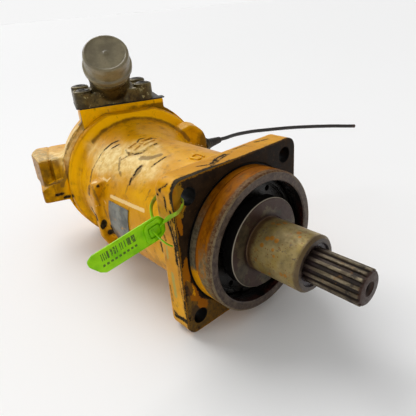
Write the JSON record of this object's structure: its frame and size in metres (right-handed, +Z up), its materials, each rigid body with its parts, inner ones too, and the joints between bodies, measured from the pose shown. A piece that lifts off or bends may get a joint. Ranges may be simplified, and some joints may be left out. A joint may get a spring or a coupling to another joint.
{
  "type": "hydraulic motor",
  "caption": "Bent-axis piston hydraulic motor with a square mounting flange, hollow pilot ring, splined shaft, capped elbow port and a speed sensor on a short cut cable.",
  "frame": {"origin": "on the ground, under the centre of the bounding box of the motor without its free cable", "axes": "+X out along the output shaft, +Z up, +Y towards the side that the speed sensor and its cable leave"},
  "size_m": [0.4756, 0.5026, 0.2622],
  "materials": {
    "housing_paint": "satin, worn and chipped",
    "cap_plastic": "cloudy, dusty",
    "black_rubber": "matte",
    "stained_steel": "oily and stained",
    "machined_steel": "turned",
    "dark_steel": "blackened",
    "bearing_steel": "ground",
    "bronze": "lapped",
    "cable_jacket": "matte",
    "bare_plate": "scratched",
    "tag_plastic": "translucent",
    "shaft_steel": "stained",
    "stained_steel_sleeve": "stained, speckled"
  },
  "bodies": {
    "housing": {"main_housing": "housing_paint", "rear_head": "housing_paint", "head_bolt_1": "dark_steel", "head_bolt_2": "dark_steel", "head_bolt_3": "dark_steel", "head_bolt_4": "dark_steel", "head_bolt_5": "dark_steel", "head_bolt_6": "dark_steel", "rear_port_plug": "cap_plastic", "adapter_gasket": "black_rubber", "port_adapter": "stained_steel", "adapter_bolt_1": "dark_steel", "adapter_bolt_2": "dark_steel", "adapter_bolt_3": "dark_steel", "adapter_bolt_4": "dark_steel", "port_cap": "cap_plastic", "seal_carrier": "machined_steel", "shaft_seal": "black_rubber", "carrier_snap_ring": "dark_steel", "front_bearing_outer": "bearing_steel", "rear_bearing_outer": "bearing_steel", "valve_plate": "bronze", "speed_sensor": "dark_steel", "cable_gland": "cable_jacket", "sensor_cable": "cable_jacket", "name_plate": "bare_plate", "seal_tag": "tag_plastic", "seal_strap": "tag_plastic"},
    "shaft": {"drive_shaft": "shaft_steel", "retaining_plate": "machined_steel", "flanged_sleeve": "stained_steel_sleeve", "front_bearing_inner": "bearing_steel", "rear_bearing_inner": "bearing_steel", "bearing_spacer": "machined_steel"},
    "front_rollers": {"front_bearing_rollers": "bearing_steel"},
    "rear_rollers": {"rear_bearing_rollers": "bearing_steel"},
    "cylinder_block": {"cylinder_block": "machined_steel", "centre_pin": "bearing_steel", "block_spring": "dark_steel"},
    "piston_1": {"piston_1": "bearing_steel"},
    "piston_2": {"piston_2": "bearing_steel"},
    "piston_3": {"piston_3": "bearing_steel"},
    "piston_4": {"piston_4": "bearing_steel"},
    "piston_5": {"piston_5": "bearing_steel"},
    "piston_6": {"piston_6": "bearing_steel"},
    "piston_7": {"piston_7": "bearing_steel"}
  },
  "joints": [
    {"name": "shaft_spin", "type": "hinge", "parent": "housing", "child": "shaft", "pos_m": [0.10385, 0.01581, 0.08], "axis": [1, 0, 0], "continuous": true},
    {"name": "block_spin", "type": "hinge", "parent": "housing", "child": "cylinder_block", "pos_m": [-0.05415, 0.01581, 0.08], "axis": [0.9272, -0.3746, 0], "continuous": true},
    {"name": "front_rollers_spin", "type": "hinge", "parent": "housing", "child": "front_rollers", "pos_m": [0.07785, 0.01581, 0.08], "axis": [1, 0, 0], "continuous": true},
    {"name": "rear_rollers_spin", "type": "hinge", "parent": "housing", "child": "rear_rollers", "pos_m": [0.02985, 0.01581, 0.08], "axis": [1, 0, 0], "continuous": true},
    {"name": "piston_1_ball", "type": "hinge", "parent": "shaft", "child": "piston_1", "pos_m": [-0.05415, 0.01581, 0.11528], "axis": [1, 0, 0], "continuous": true},
    {"name": "piston_2_ball", "type": "hinge", "parent": "shaft", "child": "piston_2", "pos_m": [-0.05415, -0.01177, 0.102], "axis": [1, 0, 0], "continuous": true},
    {"name": "piston_3_ball", "type": "hinge", "parent": "shaft", "child": "piston_3", "pos_m": [-0.05415, -0.01859, 0.07215], "axis": [1, 0, 0], "continuous": true},
    {"name": "piston_4_ball", "type": "hinge", "parent": "shaft", "child": "piston_4", "pos_m": [-0.05415, 0.0005, 0.04821], "axis": [1, 0, 0], "continuous": true},
    {"name": "piston_5_ball", "type": "hinge", "parent": "shaft", "child": "piston_5", "pos_m": [-0.05415, 0.03112, 0.04821], "axis": [1, 0, 0], "continuous": true},
    {"name": "piston_6_ball", "type": "hinge", "parent": "shaft", "child": "piston_6", "pos_m": [-0.05415, 0.0502, 0.07215], "axis": [1, 0, 0], "continuous": true},
    {"name": "piston_7_ball", "type": "hinge", "parent": "shaft", "child": "piston_7", "pos_m": [-0.05415, 0.04339, 0.102], "axis": [1, 0, 0], "continuous": true}
  ],
  "couplings": [
    {"joint": "block_spin", "follows": "shaft_spin", "ratio": 1},
    {"joint": "front_rollers_spin", "follows": "shaft_spin", "ratio": 0.44},
    {"joint": "rear_rollers_spin", "follows": "shaft_spin", "ratio": 0.44},
    {"joint": "piston_1_ball", "follows": "shaft_spin", "ratio": -1},
    {"joint": "piston_2_ball", "follows": "shaft_spin", "ratio": -1},
    {"joint": "piston_3_ball", "follows": "shaft_spin", "ratio": -1},
    {"joint": "piston_4_ball", "follows": "shaft_spin", "ratio": -1},
    {"joint": "piston_5_ball", "follows": "shaft_spin", "ratio": -1},
    {"joint": "piston_6_ball", "follows": "shaft_spin", "ratio": -1},
    {"joint": "piston_7_ball", "follows": "shaft_spin", "ratio": -1}
  ]
}
